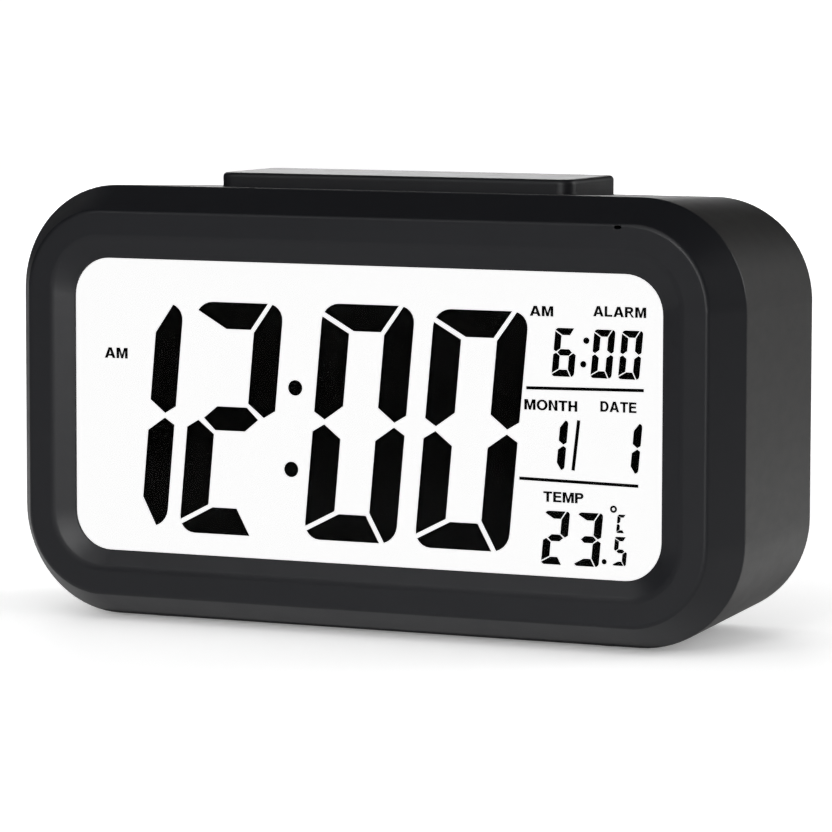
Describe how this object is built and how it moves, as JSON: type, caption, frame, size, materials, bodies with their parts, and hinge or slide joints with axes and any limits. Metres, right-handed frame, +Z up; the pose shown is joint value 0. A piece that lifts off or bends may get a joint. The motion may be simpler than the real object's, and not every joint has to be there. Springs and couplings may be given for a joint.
{
  "type": "alarm clock",
  "caption": "Digital alarm clock with a rounded black case, a large segment display, a snooze bar on top and a battery door, keys and a slide switch at the back.",
  "frame": {"origin": "centre of the bounding box at the plane the feet stand on", "axes": "+Z up, the display faces -Y, +X to the right as seen from the front"},
  "size_m": [0.135, 0.0446, 0.0777],
  "materials": {
    "bezel": "soft black, fine matte texture",
    "case": "soft black, fine matte texture",
    "lens": "clear acrylic, low reflection",
    "polariser": "thin polarising film",
    "lcd_glass": "thin flat glass",
    "reflector": "white diffusing film",
    "light_guide": "clear moulded light guide with white film",
    "board": "green circuit board with solder mask",
    "led": "white lamp package",
    "holder": "white moulded plastic",
    "contact_rubber": "layered conductive rubber",
    "epoxy": "black epoxy drop",
    "can_metal": "plated steel can",
    "capacitor": "shrink sleeve",
    "chip": "small chip parts",
    "sensor": "smoked clear sensor",
    "lead_bare": "tinned wire",
    "snooze_bar": "soft black, fine matte texture",
    "inner_plastic": "dark moulded plastic",
    "spring_steel": "spring wire",
    "switch_body": "push switch with steel top",
    "switch_stem": "moulded stem",
    "lead_insulation": "insulated wire",
    "key": "soft-touch black",
    "ribbon": "grey flat cable",
    "connector": "white connector housing",
    "disc_brass": "thin brass disc",
    "ceramic_layer": "white ceramic with silver coat",
    "door": "soft black, fine matte texture",
    "foam": "soft black foam",
    "contact_metal": "nickel-plated spring metal",
    "cell_sleeve": "plain printed sleeve",
    "screw_steel": "black-zinc steel",
    "foot_rubber": "soft black rubber"
  },
  "bodies": {
    "clock_case": {"front_bezel": "bezel", "rear_case": "case", "display_lens": "lens", "front_polariser": "polariser", "lcd_front_glass": "lcd_glass", "lcd_rear_glass": "lcd_glass", "rear_reflector": "reflector", "light_guide": "light_guide", "backlight_board": "board", "backlight_leds": "led", "lcd_holder": "holder", "zebra_strip_upper": "contact_rubber", "zebra_strip_lower": "contact_rubber", "main_board": "board", "controller_blob": "epoxy", "crystal": "can_metal", "capacitors": "capacitor", "chip_resistors": "chip", "light_sensor": "sensor", "sensor_leads": "lead_bare", "snooze_bridge": "inner_plastic", "snooze_springs": "spring_steel", "snooze_board": "board", "snooze_switch": "switch_body", "snooze_leads": "lead_insulation", "key_board": "board", "key_switches": "switch_body", "ribbon_cable": "ribbon", "ribbon_connectors": "connector", "slide_switch_body": "can_metal", "thermistor": "epoxy", "buzzer_cup": "inner_plastic", "buzzer_disc": "disc_brass", "buzzer_ceramic": "ceramic_layer", "buzzer_leads": "lead_insulation", "contact_plates": "contact_metal", "battery_springs": "contact_metal", "cells": "cell_sleeve", "battery_leads": "lead_insulation", "case_screws": "screw_steel", "small_screws": "screw_steel", "rubber_feet": "foot_rubber"},
    "snooze": {"snooze_bar": "snooze_bar", "snooze_switch_stem": "switch_stem"},
    "mode_button": {"mode_key": "key", "mode_key_stem": "switch_stem"},
    "set_button": {"set_key": "key", "set_key_stem": "switch_stem"},
    "up_button": {"up_key": "key", "up_key_stem": "switch_stem"},
    "down_button": {"down_key": "key", "down_key_stem": "switch_stem"},
    "alarm_button": {"alarm_key": "key", "alarm_key_stem": "switch_stem"},
    "unit_button": {"unit_key": "key", "unit_key_stem": "switch_stem"},
    "light_switch": {"slide_switch_knob": "key"},
    "door": {"battery_door": "door", "door_foam": "foam"}
  },
  "joints": [
    {"name": "snooze_press", "type": "slide", "parent": "clock_case", "child": "snooze", "axis": [0, 0, -1], "range_m": [0, 0.0006], "stiffness_N_per_m": 600, "springref_m": -0.001, "deforming": ["snooze_springs"]},
    {"name": "mode_press", "type": "slide", "parent": "clock_case", "child": "mode_button", "axis": [0, -1, 0], "range_m": [0, 0.0005], "stiffness_N_per_m": 800, "springref_m": -0.0005},
    {"name": "set_press", "type": "slide", "parent": "clock_case", "child": "set_button", "axis": [0, -1, 0], "range_m": [0, 0.0005], "stiffness_N_per_m": 800, "springref_m": -0.0005},
    {"name": "up_press", "type": "slide", "parent": "clock_case", "child": "up_button", "axis": [0, -1, 0], "range_m": [0, 0.0005], "stiffness_N_per_m": 800, "springref_m": -0.0005},
    {"name": "down_press", "type": "slide", "parent": "clock_case", "child": "down_button", "axis": [0, -1, 0], "range_m": [0, 0.0005], "stiffness_N_per_m": 800, "springref_m": -0.0005},
    {"name": "alarm_press", "type": "slide", "parent": "clock_case", "child": "alarm_button", "axis": [0, -1, 0], "range_m": [0, 0.0005], "stiffness_N_per_m": 800, "springref_m": -0.0005},
    {"name": "unit_press", "type": "slide", "parent": "clock_case", "child": "unit_button", "axis": [0, -1, 0], "range_m": [0, 0.0005], "stiffness_N_per_m": 800, "springref_m": -0.0005},
    {"name": "light_switch_slide", "type": "slide", "parent": "clock_case", "child": "light_switch", "axis": [1, 0, 0], "range_m": [0, 0.003]},
    {"name": "battery_door_hinge", "type": "hinge", "parent": "clock_case", "child": "door", "pos_m": [0, 0.02085, 0.0108], "axis": [-1, 0, 0], "range_deg": [0, 95]}
  ]
}
